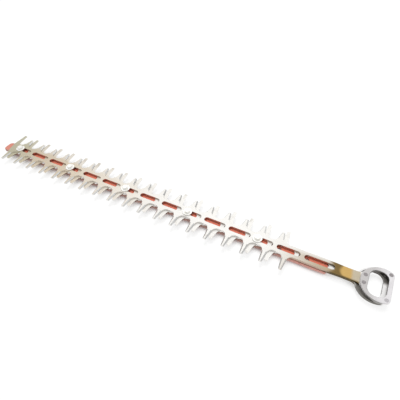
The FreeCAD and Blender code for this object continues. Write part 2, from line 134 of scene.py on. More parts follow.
class PaintFinish(bpy.types.PropertyGroup):
    """Red enamel on the guide bar."""
    paint: colour("Paint", "Red enamel", (0.63, 0.145, 0.085))
    faded: colour("Faded Paint", "Enamel where it is thin or rubbed", (0.485, 0.20, 0.152))
    # Partly painted light: this paler paint on the bar's sides and beside the blades stands for light on the
    # sides, as well as dust.
    dust_and_side_light: colour("Dusty Paint", "Enamel on the bar's sides, under old dust", (0.57, 0.29, 0.245))
    # Painted shade: this brown on the bar's sides among the teeth stands for the shadow that the blades cast
    # there.
    sap: colour("Dried Sap", "Brown sap on the bar's sides between the teeth", (0.23, 0.135, 0.105))
    bare: colour("Bare Steel", "Steel where the enamel is chipped off the edges", (0.42, 0.38, 0.35))
    roughness: share("Roughness", "Roughness of the enamel", 0.50)
    peel: length("Orange Peel", "Spacing of the ripples in the enamel", 0.0016)


class PlatingFinish(bpy.types.PropertyGroup):
    """Zinc plated bolts, washers and nuts, the turned collars and the nuts' locking rings."""
    zinc: colour("Zinc", "Plating of the bolts, washers and nuts", (0.92, 0.915, 0.895))
    bloom: colour("Bloom", "Yellow bloom on the plating", (0.84, 0.81, 0.71))
    collar: colour("Collar Steel", "Turned steel of the slide collars", (0.50, 0.48, 0.45))
    ring: colour("Locking Ring", "Plastic of the nuts' locking rings", (0.62, 0.64, 0.66))
    roughness: share("Roughness", "Roughness of the plating", 0.30)


class StageSettings(bpy.types.PropertyGroup):
    """The pale floor, the soft light and the camera."""
    floor: colour("Floor", "Colour of the floor", (0.88, 0.88, 0.875))
    floor_size: length("Floor Size", "Side of the floor", 12.0)
    floor_lift: share("Floor Lift", "Light that the open floor adds where the camera sees it", 0.80)
    floor_depth: share("Floor Depth", "Share of the floor's look that its open shadows take", 0.21)
    contact_reach: length("Contact Reach", "How near a piece the floor shows its full shadow", 0.019)
    key_power: power("Soft Box Power", "Strength of the soft box behind the cutter", 1.34)
    fill_power: power("Room Power", "Strength of the rest of the room", 0.45)
    front_power: power("Front Power", "Strength of the room behind the camera", 0.80)
    window_power: power("Window Power", "Strength of the window beyond the yokes", 0.95)
    lamp_power: power("Lamp Power", "Strength of the lamp that casts the shadow", 2.0)
    camera_place: FloatVectorProperty(
        name="Camera Place", description="Where the camera stands", default=(0.02933, -0.39959, 0.54791),
        size=3, subtype="TRANSLATION", unit="LENGTH", precision=5)
    camera_turn: FloatVectorProperty(
        name="Camera Turn", description="How the camera is turned", default=(0.74105, 0.00865, 0.46491),
        size=3, subtype="EULER", unit="ROTATION", precision=5)
    camera_lens: FloatProperty(
        name="Camera Lens", description="Focal length on a 36 mm wide sensor", default=33.954,
        unit="CAMERA", precision=3)


class CutterSettings(bpy.types.PropertyGroup):
    """All settings of the cutter and its stage."""
    blade: PointerProperty(type=BladeFinish, name="Blades", description="Finish of both blades")
    yoke: PointerProperty(type=YokeFinish, name="Yokes", description="Finish of the yoke plates and rivets")
    paint: PointerProperty(type=PaintFinish, name="Guide Bar", description="Finish of the guide bar")
    plating: PointerProperty(type=PlatingFinish, name="Fasteners", description="Finish of the fasteners")
    stage: PointerProperty(type=StageSettings, name="Stage", description="Floor, light and camera")


class Pattern(NamedTuple):
    """Cloudy noise with lumps of a spacing in metres, longer along a stretched axis.

    The contrast, where there is one, holds the levels that become 0 and 1.
    """
    spacing: float
    detail: float
    stretch: tuple = (1.0, 1.0, 1.0)
    contrast: tuple = None


def dimmed(tone, amount):
    """A colour with only a share of its light."""
    return tuple(amount * part for part in tone)


def shifted(span, start):
    """A span moved along, so that it is counted from a start."""
    return tuple(start + part for part in span)


WHITE = (1.0, 1.0, 1.0)
BLACK = (0.0, 0.0, 0.0)
FULL_RANGE = (0.0, 1.0)

# Sockets of the Mix node that hold a colour mix.
MIX_AMOUNT = 0
MIX_FIRST = 6
MIX_SECOND = 7
MIX_RESULT = 2


class Shading:
    """A node tree in the making, with short calls for the nodes that the cutter and its stage share."""

    def __init__(self, owner):
        owner.use_nodes = True
        self.nodes = owner.node_tree.nodes
        self.links = owner.node_tree.links
        self.nodes.clear()

    def put(self, socket, value):
        """Sets a socket to a value, or joins it to another node's output."""
        if isinstance(value, bpy.types.NodeSocket):
            self.links.new(value, socket)
        elif socket.type == "RGBA":
            socket.default_value = (*value, 1.0)
        else:
            socket.default_value = value

    def fill(self, node, values):
        """Sets a node's sockets by their names, with _ for a space."""
        for name, value in values.items():
            self.put(node.inputs[name.replace("_", " ")], value)

    def add(self, kind, **values):
        """Adds a node with the named sockets set."""
        node = self.nodes.new("ShaderNode" + kind)
        self.fill(node, values)
        return node

    def math(self, operation, first, second=0.0):
        """A value worked out from one or two others."""
        node = self.add("Math")
        node.operation = operation
        self.put(node.inputs[0], first)
        self.put(node.inputs[1], second)
        return node.outputs[0]

    def plus(self, first, second):
        """The sum of two values."""
        return self.math("ADD", first, second)

    def minus(self, first, second):
        """The first value less the second."""
        return self.math("SUBTRACT", first, second)

    def times(self, first, *others):
        """The product of values."""
        for other in others:
            first = self.math("MULTIPLY", first, other)
        return first

    def distance(self, along, across):
        """The distance that a step along and a step across make together."""
        return self.math("SQRT", self.plus(self.times(along, along), self.times(across, across)))

    def ramp(self, value, span, low=0.0, high=1.0):
        """A smooth change from low to high while the value goes from the span's start to its end."""
        node = self.add("MapRange")
        node.interpolation_type = "SMOOTHSTEP"
        for socket, setting in zip(node.inputs, (value, *span, low, high)):
            self.put(socket, setting)
        return node.outputs[0]

    def split(self, vector):
        """The x, y and z of a vector."""
        return self.add("SeparateXYZ", Vector=vector).outputs

    def agreement(self, first, second):
        """How far two directions agree, 1 where they are the same."""
        node = self.add("VectorMath")
        node.operation = "DOT_PRODUCT"
        self.put(node.inputs[0], first)
        self.put(node.inputs[1], second)
        return node.outputs["Value"]

    def mix(self, amount, first, second):
        """A colour between two others."""
        node = self.add("Mix")
        node.data_type = "RGBA"
        self.put(node.inputs[MIX_AMOUNT], amount)
        self.put(node.inputs[MIX_FIRST], first)
        self.put(node.inputs[MIX_SECOND], second)
        return node.outputs[MIX_RESULT]

    def join(self, kind, *inputs):
        """Joins shaders by an Add Shader or a Mix Shader node, given its inputs in their order."""
        node = self.add(kind)
        for socket, value in zip(node.inputs, inputs):
            self.put(socket, value)
        return node.outputs[0]


# A wall's normal x as it turns from the tip to the yoke, and how far normals agree at a rounded edge.
WALL_TO_YOKE = (-0.75, -0.10)
ROUNDED_EDGE = (0.995, 0.80)
EDGE_SAMPLES = 6

# Parts of a yoke, as distances from the middle of its round end with 1 at the rim.
YOKE_SLOT = (0.93, 0.90)
YOKE_RIM = (0.68, 0.84)

# A yoke's near half and nearest part in the frame's y, that part's end from the yoke plate's start, and the
# share of painted shade there.
NEAR_HALF = (0.012, -0.018)
FOOT_SIDE = (-0.022, -0.031)
FOOT_END = (0.043, 0.036)
FOOT_SHADE = 0.8


class Finish(Shading):
    """A material in the making, with the patterns and the places on the cutter that the finishes share."""

    def __init__(self, name):
        self.material = bpy.data.materials.new(name)
        super().__init__(self.material)
        self.shader = self.add("BsdfPrincipled")
        self.add("OutputMaterial", Surface=self.shader.outputs["BSDF"])
        self.place = self.add("TexCoord").outputs["Object"]
        self.x, self.y, self.z = self.split(self.place)
        self.geometry = self.add("NewGeometry").outputs

    def set(self, **values):
        """Sets the shader's own sockets by their names, with _ for a space."""
        self.fill(self.shader, values)

    def noise(self, pattern):
        """A pattern laid over the surface."""
        mapping = self.add("Mapping", Vector=self.place, Scale=[1.0 / part for part in pattern.stretch])
        node = self.add(
            "TexNoise", Vector=mapping.outputs[0], Scale=1.0 / pattern.spacing, Detail=pattern.detail)
        if pattern.contrast is None:
            return node.outputs[0]
        return self.ramp(node.outputs[0], pattern.contrast)

    def uneven(self, roughness, pattern, spread, drop):
        """A roughness that starts a drop below the given one and rises by a spread with a pattern."""
        return self.plus(self.times(pattern, spread), roughness - drop)

    def lying(self):
        """How far a face lies flat, from 0 on a wall to 1 on a flat face."""
        return self.math("ABSOLUTE", self.split(self.geometry["Normal"])["Z"])

    def turned_to_yoke(self):
        """How far a wall turns away from the tip, from 0 where it faces the tip to 1 on a side wall."""
        return self.ramp(self.split(self.geometry["Normal"])["X"], WALL_TO_YOKE)

    def off_middle(self):
        """Distance from the cutter's middle line."""
        return self.math("ABSOLUTE", self.y)

    def rounded(self, radius):
        """The surface's normal, turned smoothly round its edges."""
        bevel = self.add("Bevel", Radius=radius)
        bevel.samples = EDGE_SAMPLES
        return bevel.outputs[0]

    def rim(self, rounded):
        """How far a point lies on a rounded edge."""
        return self.ramp(self.agreement(rounded, self.geometry["True Normal"]), ROUNDED_EDGE)

    def bump(self, height, depth, normal=None):
        """Raises the surface by the given height pattern, depth metres from low to high."""
        node = self.add("Bump", Strength=1.0, Distance=depth, Height=height)
        if normal is not None:
            self.put(node.inputs["Normal"], normal)
        self.set(Normal=node.outputs[0])

    def bolt_radius(self):
        """Distance from the nearest bolt's axis."""
        along = self.math("DIVIDE", self.minus(self.x, FIRST_BOLT_X), BOLT_SPACING)
        off = self.minus(along, self.math("ROUND", along))
        return self.distance(self.times(off, BOLT_SPACING), self.y)

    def yoke_spread(self, yoke_plate):
        """Distance from the middle of a yoke's round end, 1 at its rim."""
        low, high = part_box(yoke_plate)
        radius = (high.y - low.y) / 2
        off = self.minus(self.x, low.x + radius)
        return self.math("DIVIDE", self.distance(off, self.y), radius)

    def inside_yoke(self, yoke_plate):
        """How far a point lies within the rim of a yoke, from 0 at the rim to 1 at the slot."""
        return self.ramp(self.yoke_spread(yoke_plate), YOKE_SLOT)

    def yoke_rim_shade(self, yoke_plate, on_top):
        """How much painted shade darkens a yoke: the upper yoke's nearest part, the lower yoke's near rim.
        """
        if on_top:
            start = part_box(yoke_plate)[0].x
            nearest = self.ramp(self.y, FOOT_SIDE, high=FOOT_SHADE)
            return self.times(nearest, self.ramp(self.x, shifted(FOOT_END, start)))
        near = self.ramp(self.y, NEAR_HALF)
        return self.times(near, self.ramp(self.yoke_spread(yoke_plate), YOKE_RIM))

    def dress(self, *nodes):
        """Gives the finish to CAD nodes."""
        for name in nodes:
            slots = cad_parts[name].data.materials
            slots.clear()
            slots.append(self.material)


# Patterns of the blades.
TIP_CLOUD = Pattern(0.06, 4.0)
SCRATCHES = Pattern(0.0011, 2.0, stretch=(1.0, 40.0, 1.0), contrast=(0.62, 0.72))
SAP_SPOTS = Pattern(0.012, 5.0, contrast=(0.50, 0.72))
TORN_SCALE = Pattern(0.0012, 3.0, stretch=(1.0, 1.0, 4.0), contrast=(0.30, 0.75))
TINT_WAVER = Pattern(0.014, 2.0)
GRAIN_DETAIL = 3.0
GRAIN_STRETCH = (60.0, 1.0, 1.0)

# Spans on the blades along the frame's x, in metres.
TIP_SPAN = (-0.14, -0.50)
NOSE_GREENING = (-0.56, -0.64)
SHANK_WALLS = (-0.018, -0.004)

# Spans across the blades in the frame's y, in metres.
FAR_TEETH = (0.022, 0.010)
FAR_FLANKS = (0.002, 0.012)
ROOT_START = (-0.0115, -0.0130)
ROOT_END = (-0.031, -0.019)
WARM_SIDE = (0.010, 0.001)
NEAR_EDGE = (-0.0070, -0.0112)
FAR_HOLE_SIDE = (0.003, 0.012)

# Spans off the blades' middle line, in metres.
STAINED_TEETH = (0.010, 0.040)
SLOT_WALLS = (0.0075, 0.0055)

# Blurs about the place where a tint or the yoke begins, in metres.
BURNT_BLUR = (-0.014, 0.0)
BRONZE_BLUR = (-0.0060, 0.0060)
STRAW_BLUR = (-0.0040, 0.0040)
DULL_BLUR = (-0.0032, 0.0032)
YOKE_BLUR = (-0.0015, 0.0025)

# How far a face lies flat where the teeth's ground flanks begin and end, and where the walls begin.
FLANK_START = (0.55, 0.62)
FLANK_END = (0.92, 0.80)
BLADE_WALL = (0.52, 0.36)

# Shares of the tip's sap and painted shade, the nose's sap, the stains, the slots' painted shade and the
# warm tint where each is thinner or at its thickest, and of the metal lost where flanks dull.
NEAR_TEETH_DARKENING = 0.45
NOSE_SAP = 0.8
STAIN_SHARE = 0.28
SLOT_SHADE_SHARE = 0.8
FAR_WARMTH = 0.32
DULLED_METAL = 0.55

# Shades of the grinding lines and the torn scale.
GRAIN_SHADE = (0.50, 0.485, 0.455)
GRAIN_SHARE = 0.16
TORN_SHADE = 0.82

# How clouds move the start of the tip's darkening, and how a tint's start wavers, slants and bows across the
# shank.
TIP_CLOUD_REACH = 0.12
MIDDLE_LEVEL = 0.5
WAVER_REACH = 0.006
TINT_SLANT = 0.10
TINT_BOW = 45.0

# Roughness and relief of the blades.
STAIN_ROUGHNESS = 0.35
CUT_POLISH = 0.10
SCRATCH_HEIGHT = -0.5
GRAIN_DEPTH = 0.000006
BLADE_EDGE = 0.00018


def flat_faces(finish, settings, lines, towards_tip, stained):
    """Ground flat faces, darker towards the tip with sap and painted shade, green at the nose and stained
    between the teeth.
    """
    # Sap and painted shade darken the flat faces towards the tip.
    tip_sap_and_shade = finish.times(towards_tip, finish.ramp(finish.y, FAR_TEETH, low=NEAR_TEETH_DARKENING))
    flat = finish.mix(tip_sap_and_shade, settings.ground, settings.tip)
    flat = finish.mix(finish.ramp(finish.x, NOSE_GREENING, high=NOSE_SAP), flat, settings.nose)
    flat = finish.mix(stained, flat, settings.stain)
    return finish.mix(finish.times(lines, GRAIN_SHARE), flat, GRAIN_SHADE)


def cut_walls(finish, settings):
    """Walls cut through the plate, under torn scale, with painted shade in the slots and brown on the shank.
    """
    walls = finish.mix(finish.noise(TORN_SCALE), settings.edge, dimmed(settings.edge, TORN_SHADE))
    # Painted shade on the slots' walls.
    slot_shade = finish.ramp(finish.off_middle(), SLOT_WALLS, high=SLOT_SHADE_SHARE)
    walls = finish.mix(finish.times(slot_shade, finish.turned_to_yoke()), walls, settings.slot_wall)
    return finish.mix(finish.ramp(finish.x, SHANK_WALLS), walls, settings.shank_wall)


def heat_tints(finish, settings, flat, drift, yoke_edge):
    """Tints the shank's flat face: warm, bronze, straw and dull in turn, and bronze along its near edge."""
    bronze_start = yoke_edge - settings.bronze_reach
    warm = finish.ramp(drift, (yoke_edge - settings.warm_reach, bronze_start))
    warm = finish.times(warm, finish.ramp(finish.y, WARM_SIDE, low=FAR_WARMTH))
    flat = finish.mix(warm, flat, settings.warm)
    off_middle = finish.off_middle()
    bowed = finish.times(off_middle, off_middle, TINT_BOW)
    for edge, reach, blur, tint in (
            (finish.plus(drift, bowed), settings.bronze_reach, BRONZE_BLUR, settings.bronze),
            (finish.minus(drift, bowed), settings.straw_reach, STRAW_BLUR, settings.straw),
            (drift, settings.dull_reach, DULL_BLUR, settings.dull)):
        flat = finish.mix(finish.ramp(edge, shifted(blur, yoke_edge - reach)), flat, tint)
    near_edge = finish.ramp(finish.y, NEAR_EDGE)
    near_edge = finish.times(near_edge, finish.ramp(drift, shifted(BRONZE_BLUR, bronze_start)))
    return finish.mix(near_edge, flat, settings.bronze)


def blade_finish(name, settings, yoke_plate, on_top):
    """Ground steel with scaled cut edges, bright bevels, sap stains and heat tints up to the yoke plate,
    with painted shade at the roots, in the slots, in the yoke hole, on the near rim and towards the tip.
    """
    finish = Finish(name)
    yoke_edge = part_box(yoke_plate)[0].x
    lines = finish.noise(Pattern(settings.grain, GRAIN_DETAIL, GRAIN_STRETCH))
    clouded = finish.plus(finish.x, finish.times(finish.noise(TIP_CLOUD), TIP_CLOUD_REACH))
    towards_tip = finish.ramp(clouded, TIP_SPAN)
    between_teeth = finish.ramp(finish.off_middle(), STAINED_TEETH)
    stained = finish.times(finish.noise(SAP_SPOTS), between_teeth, STAIN_SHARE)
    waver = finish.times(finish.minus(finish.noise(TINT_WAVER), MIDDLE_LEVEL), WAVER_REACH)
    drift = finish.plus(finish.plus(finish.x, waver), finish.times(finish.y, TINT_SLANT))

    flat = flat_faces(finish, settings, lines, towards_tip, stained)
    walls = cut_walls(finish, settings)
    flank = settings.bevel
    if on_top:
        flat = heat_tints(finish, settings, flat, drift, yoke_edge)
    else:
        # Painted shade on the lower blade's flanks and walls at the near teeth's roots.
        root_shade = finish.times(finish.ramp(finish.y, ROOT_START), finish.ramp(finish.y, ROOT_END))
        flank = finish.mix(root_shade, flank, settings.sap)
        walls = finish.mix(root_shade, walls, settings.sap)
    burnt = finish.ramp(drift, shifted(BURNT_BLUR, yoke_edge - settings.bronze_reach))
    walls = finish.mix(burnt, walls, settings.burnt)

    at_yoke = finish.ramp(drift, shifted(YOKE_BLUR, yoke_edge))
    # Painted shade darkens the blade at the yoke's near rim.
    rim_shaded = finish.times(at_yoke, finish.yoke_rim_shade(yoke_plate, on_top))
    inside = finish.inside_yoke(yoke_plate)
    for amount, tone in ((at_yoke, settings.yoke), (rim_shaded, settings.film)):
        flat = finish.mix(amount, flat, tone)
        walls = finish.mix(amount, walls, tone)
    # Painted shade on the walls in the yoke hole.
    walls = finish.mix(inside, walls, settings.grease)
    # Painted shade on the lower blade's face by the far wall of the yoke hole.
    if not on_top:
        far_hole_shade = finish.times(inside, finish.ramp(finish.y, FAR_HOLE_SIDE), at_yoke)
        flat = finish.mix(far_hole_shade, flat, settings.grease)

    lying = finish.lying()
    ground = finish.times(finish.ramp(lying, FLANK_START), finish.ramp(lying, FLANK_END))
    wall = finish.ramp(lying, BLADE_WALL)
    dulled = finish.times(towards_tip, ground, finish.ramp(finish.y, FAR_FLANKS))
    rough = finish.uneven(settings.roughness, lines, spread=0.12, drop=0.06)
    rough = finish.plus(rough, finish.times(stained, STAIN_ROUGHNESS))
    for polished in (ground, wall):
        rough = finish.minus(rough, finish.times(polished, CUT_POLISH))
    finish.set(
        Base_Color=finish.mix(wall, finish.mix(ground, flat, flank), walls),
        Roughness=rough,
        Metallic=finish.minus(1.0, finish.times(dulled, DULLED_METAL)))
    height = finish.plus(lines, finish.times(finish.noise(SCRATCHES), SCRATCH_HEIGHT))
    finish.bump(height, GRAIN_DEPTH, finish.rounded(BLADE_EDGE))
    return finish


# Patterns of the yoke plates and their rivets.
SWIRL = Pattern(0.0016, 2.0, stretch=(1.0, 9.0, 1.0))
PLATE_CLOUD = Pattern(0.018, 4.0, contrast=(0.32, 0.72))
WALL_STREAKS = Pattern(0.0009, 3.0, stretch=(1.0, 1.0, 8.0))
RIVET_PITS = Pattern(0.0011, 4.0)

# Shades of the yoke plates and how much each one shows.
CLOUD_SHADE = (0.60, 0.58, 0.585)
CLOUD_SHARE = 0.30
SWIRL_SHADE = (0.40, 0.39, 0.40)
SWIRL_SHARE = 0.14
WORN_RIM = (0.86, 0.855, 0.86)
WORN_SHARE = 0.5
STREAK_SHADE = 0.7

# Where a plate grows bright, from its start in metres, where its walls begin, and its roughness and relief.
POLISHED_END = (0.012, 0.044)
PLATE_WALL = (0.50, 0.30)
WALL_ROUGHNESS = 0.10
YOKE_METAL = 0.95
SWIRL_DEPTH = 0.000008
PLATE_EDGE = 0.0006

# The near corner's rivets in the frame's x and y, and the levels, roughness and depth of the pits.
CORNER_X = (0.125, 0.140)
CORNER_Y = (0.005, -0.005)
PIT_LEVELS = (0.35, 0.68)
PIT_SHADE = 0.3
PIT_ROUGH_LEVELS = (0.3, 0.7)
PIT_ROUGHNESS = 0.56
HEAD_ROUGHNESS = 0.40
PIT_DEPTH = 0.00004


def yoke_plate_finish(name, settings, blade, on_top):
    """Milled steel with swirling tool marks and worn rims, and painted shade on the walls in its hole and on
    its near rim.
    """
    finish = Finish(name + "_steel")
    normal = finish.rounded(PLATE_EDGE)
    swirl = finish.noise(SWIRL)
    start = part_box(name)[0].x
    flat = finish.mix(finish.ramp(finish.x, shifted(POLISHED_END, start)), settings.plate, settings.polished)
    for pattern, amount, shade in (
            (finish.noise(PLATE_CLOUD), CLOUD_SHARE, CLOUD_SHADE),
            (swirl, SWIRL_SHARE, SWIRL_SHADE),
            (finish.rim(normal), WORN_SHARE, WORN_RIM)):
        flat = finish.mix(finish.times(pattern, amount), flat, shade)
    side = finish.mix(finish.noise(WALL_STREAKS), settings.wall, dimmed(settings.wall, STREAK_SHADE))
    # Painted shade on the near walls of the yoke plate.
    side = finish.mix(finish.yoke_rim_shade(name, on_top), side, blade.film)
    # Painted shade on the walls in the yoke plate's hole.
    side = finish.mix(finish.inside_yoke(name), side, blade.grease)
    wall = finish.ramp(finish.lying(), PLATE_WALL)
    rough = finish.uneven(settings.roughness, swirl, spread=0.14, drop=0.05)
    finish.set(
        Base_Color=finish.mix(wall, flat, side),
        Roughness=finish.plus(rough, finish.times(wall, WALL_ROUGHNESS)),
        Metallic=YOKE_METAL)
    finish.bump(swirl, SWIRL_DEPTH, normal)
    return finish


def rivet_finish(settings):
    """Dark headed steel, a little pitted by the rivet set and rubbed paler at the near corner."""
    finish = Finish("yoke_rivet_steel")
    pits = finish.noise(RIVET_PITS)
    at_corner = finish.times(finish.ramp(finish.x, CORNER_X), finish.ramp(finish.y, CORNER_Y))
    head = finish.mix(at_corner, settings.rivet, settings.rubbed)
    pit = finish.mix(PIT_SHADE, head, BLACK)
    finish.set(
        Base_Color=finish.mix(finish.ramp(pits, PIT_LEVELS), pit, head),
        Roughness=finish.ramp(pits, PIT_ROUGH_LEVELS, low=PIT_ROUGHNESS, high=HEAD_ROUGHNESS),
        Metallic=YOKE_METAL)
    finish.bump(pits, PIT_DEPTH)
    return finish


# Patterns of the guide bar.
PAINT_CLOUD = Pattern(0.035, 4.0)
RUBBED_LINES = Pattern(0.0022, 3.0, stretch=(45.0, 1.0, 1.0), contrast=(0.52, 0.74))
GRIME_SPOTS = Pattern(0.011, 5.0, contrast=(0.55, 0.78))
CHIPPED_SPOTS = Pattern(0.0042, 4.0, contrast=(0.50, 0.60))
PEEL_DETAIL = 1.0

# Spans on the bar in metres, from its tip, off its middle line and along the frame's x.
BLEACHED_TIP = (0.050, 0.020)
BESIDE_BLADES = (0.0100, 0.0112)
AMONG_TEETH = (-0.010, -0.040)

# Where the bar's sides begin, the shares of what covers the paint, of the dust and painted light on the
# sides and of the painted shade among the teeth, and its roughness and relief.
BAR_SIDE = (0.5, 0.3)
FADED_SHARE = 0.32
BLEACHED_SHARE = 0.8
DUST_AND_LIGHT_SHARE = 0.85
TEETH_SHADE_SHARE = 0.7
GRIME = (0.20, 0.075, 0.05)
GRIME_SHARE = 0.35
CHIP_METAL = 0.9
CHIP_HEIGHT = 1.5
PEEL_DEPTH = 0.00003
BAR_EDGE = 0.0007


def bar_finish(settings):
    """Red enamel with orange peel, rubbed by the blades and chipped along the edges, with dust and painted
    light on its sides and painted shade on them among the teeth.
    """
    finish = Finish("guide_bar_enamel")
    normal = finish.rounded(BAR_EDGE)
    faded = finish.times(finish.plus(finish.noise(RUBBED_LINES), finish.noise(PAINT_CLOUD)), FADED_SHARE)
    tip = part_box("guide_bar")[0].x
    bleached = finish.ramp(finish.x, shifted(BLEACHED_TIP, tip), high=BLEACHED_SHARE)
    coat = finish.mix(finish.math("MAXIMUM", faded, bleached), settings.paint, settings.faded)
    outside = finish.ramp(finish.off_middle(), BESIDE_BLADES)
    # Dust and painted light on the bar's sides and beside the blades.
    on_sides = finish.math("MAXIMUM", finish.ramp(finish.lying(), BAR_SIDE), outside)
    coat = finish.mix(finish.times(on_sides, DUST_AND_LIGHT_SHARE), coat, settings.dust_and_side_light)
    # Painted shade on the bar's sides among the teeth.
    teeth_shade = finish.times(on_sides, finish.ramp(finish.x, AMONG_TEETH, high=TEETH_SHADE_SHARE))
    coat = finish.mix(teeth_shade, coat, settings.sap)
    coat = finish.mix(finish.times(finish.noise(GRIME_SPOTS), GRIME_SHARE), coat, GRIME)
    chips = finish.times(finish.rim(normal), finish.noise(CHIPPED_SPOTS))
    finish.set(
        Base_Color=finish.mix(chips, coat, settings.bare),
        Roughness=finish.uneven(settings.roughness, faded, spread=0.18, drop=0.06),
        Metallic=finish.times(chips, CHIP_METAL))
    peel = finish.noise(Pattern(settings.peel, PEEL_DETAIL))
    finish.bump(finish.minus(peel, finish.times(chips, CHIP_HEIGHT)), PEEL_DEPTH, normal)
    return finish


# Patterns of the fasteners, and the levels between which their turned rings and grooves rise.
ZINC_CLOUD = Pattern(0.006, 4.0, contrast=(0.36, 0.70))
RING_WAVER = Pattern(0.002, 3.0)
RING_LEVELS = (-0.6, 1.6)
GROOVE_WAVER = Pattern(0.0015, 3.0)
GROOVE_LEVELS = (-0.8, 1.8)
MOTTLE = Pattern(0.0012, 4.0)
MOTTLE_LEVELS = (0.35, 0.7)

# Spacings of the turned rings and grooves, in metres.
BOLT_RINGS = 0.0009
WASHER_RINGS = 0.0012
NUT_RINGS = 0.0008
COLLAR_GROOVES = 0.00035

# Shades of the plating and how much each one shows, its metal and its relief.
BLOOM_SHARE = 0.40
RING_SHADE = (0.55, 0.55, 0.55)
RING_SHARE = 0.10
RUBBED_RIM = (0.88, 0.88, 0.87)
RUBBED_SHARE = 0.55
ZINC_METAL = 0.6
RING_DEPTH = 0.000012
ZINC_EDGE = 0.0004

# Shades, roughness and relief of the collars and the locking rings.
GROOVE_SHADE = 0.6
GROOVE_ROUGHNESS = 0.44
CREST_ROUGHNESS = 0.30
GROOVE_DEPTH = 0.00001
MOTTLE_SHADE = 0.72
MOTTLE_ROUGH_LEVELS = (0.3, 0.7)
PLASTIC_ROUGHNESS = 0.42
MOTTLE_ROUGHNESS = 0.58
MOTTLE_DEPTH = 0.00002


def zinc_finish(name, settings, ring_spacing):
    """Bright zinc plating with a thin yellow bloom, and turning rings about the bolt's axis."""
    finish = Finish(name)
    normal = finish.rounded(ZINC_EDGE)
    cloud = finish.noise(ZINC_CLOUD)
    rings = finish.math("SINE", finish.times(finish.bolt_radius(), math.tau / ring_spacing))
    rings = finish.ramp(finish.plus(rings, finish.noise(RING_WAVER)), RING_LEVELS)
    plating = settings.zinc
    for pattern, amount, shade in (
            (cloud, BLOOM_SHARE, settings.bloom),
            (rings, RING_SHARE, RING_SHADE),
            (finish.rim(normal), RUBBED_SHARE, RUBBED_RIM)):
        plating = finish.mix(finish.times(pattern, amount), plating, shade)
    finish.set(
        Base_Color=plating,
        Roughness=finish.uneven(settings.roughness, cloud, spread=0.14, drop=0.04),
        Metallic=ZINC_METAL)
    finish.bump(rings, RING_DEPTH, normal)
    return finish


def collar_finish(settings):
    """Turned steel with fine grooves round the sleeve."""
    finish = Finish("slide_collar_steel")
    grooves = finish.math("SINE", finish.times(finish.z, math.tau / COLLAR_GROOVES))
    crests = finish.ramp(finish.plus(grooves, finish.noise(GROOVE_WAVER)), GROOVE_LEVELS)
    finish.set(
        Base_Color=finish.mix(crests, dimmed(settings.collar, GROOVE_SHADE), settings.collar),
        Roughness=finish.ramp(crests, FULL_RANGE, low=GROOVE_ROUGHNESS, high=CREST_ROUGHNESS),
        Metallic=1.0)
    finish.bump(crests, GROOVE_DEPTH)
    return finish


def ring_finish(settings):
    """Moulded plastic, a little mottled."""
    finish = Finish("nut_lock_ring_plastic")
    mottle = finish.noise(MOTTLE)
    spotted = finish.ramp(mottle, MOTTLE_LEVELS)
    finish.set(
        Base_Color=finish.mix(spotted, settings.ring, dimmed(settings.ring, MOTTLE_SHADE)),
        Roughness=finish.ramp(mottle, MOTTLE_ROUGH_LEVELS, low=PLASTIC_ROUGHNESS, high=MOTTLE_ROUGHNESS),
        Metallic=0.0)
    finish.bump(mottle, MOTTLE_DEPTH)
    return finish


class CUTTER_OT_finish_blades(bpy.types.Operator):
    """Gives both blades their ground steel, cut edges and heat tints"""
    bl_idname = "cutter.finish_blades"
    bl_label = "Finish Blades"

    def execute(self, context):
        settings = context.scene.cutter.blade
        for side in ("upper", "lower"):
            finish = blade_finish(side + "_blade_steel", settings, side + "_yoke_plate", side == "upper")
            finish.dress(side + "_blade")
        return {"FINISHED"}


class CUTTER_OT_finish_yoke_plates(bpy.types.Operator):
    """Gives both yoke plates their milled steel"""
    bl_idname = "cutter.finish_yoke_plates"
    bl_label = "Finish Yoke Plates"

    def execute(self, context):
        cutter = context.scene.cutter
        for side in ("upper", "lower"):
            plate = side + "_yoke_plate"
            yoke_plate_finish(plate, cutter.yoke, cutter.blade, side == "upper").dress(plate)
        return {"FINISHED"}


class CUTTER_OT_finish_yoke_rivets(bpy.types.Operator):
    """Gives the yokes' rivets their dark steel"""
    bl_idname = "cutter.finish_yoke_rivets"
    bl_label = "Finish Yoke Rivets"

    def execute(self, context):
        rivet_finish(context.scene.cutter.yoke).dress("upper_yoke_rivets", "lower_yoke_rivets")
        return {"FINISHED"}


class CUTTER_OT_finish_guide_bar(bpy.types.Operator):
    """Gives the guide bar its red enamel"""
    bl_idname = "cutter.finish_guide_bar"
    bl_label = "Finish Guide Bar"

    def execute(self, context):
        bar_finish(context.scene.cutter.paint).dress("guide_bar")
        return {"FINISHED"}


class CUTTER_OT_finish_fasteners(bpy.types.Operator):
    """Gives the bolts, washers and nuts their zinc plating"""
    bl_idname = "cutter.finish_fasteners"
    bl_label = "Finish Fasteners"

    def execute(self, context):
        settings = context.scene.cutter.plating
        zinc_finish("blade_bolt_zinc", settings, BOLT_RINGS).dress("blade_bolts")
        zinc_finish("bolt_washer_zinc", settings, WASHER_RINGS).dress("bolt_washers")
        zinc_finish("lock_nut_zinc", settings, NUT_RINGS).dress("lock_nuts")
        return {"FINISHED"}


class CUTTER_OT_finish_slide_collars(bpy.types.Operator):
    """Gives the slide collars their turned steel"""
    bl_idname = "cutter.finish_slide_collars"
    bl_label = "Finish Slide Collars"

    def execute(self, context):
        collar_finish(context.scene.cutter.plating).dress(*COLLARS)
        return {"FINISHED"}


class CUTTER_OT_finish_lock_rings(bpy.types.Operator):
    """Gives the nuts' locking rings their plastic"""
    bl_idname = "cutter.finish_lock_rings"
    bl_label = "Finish Locking Rings"

    def execute(self, context):
        ring_finish(context.scene.cutter.plating).dress("nut_lock_rings")
        return {"FINISHED"}


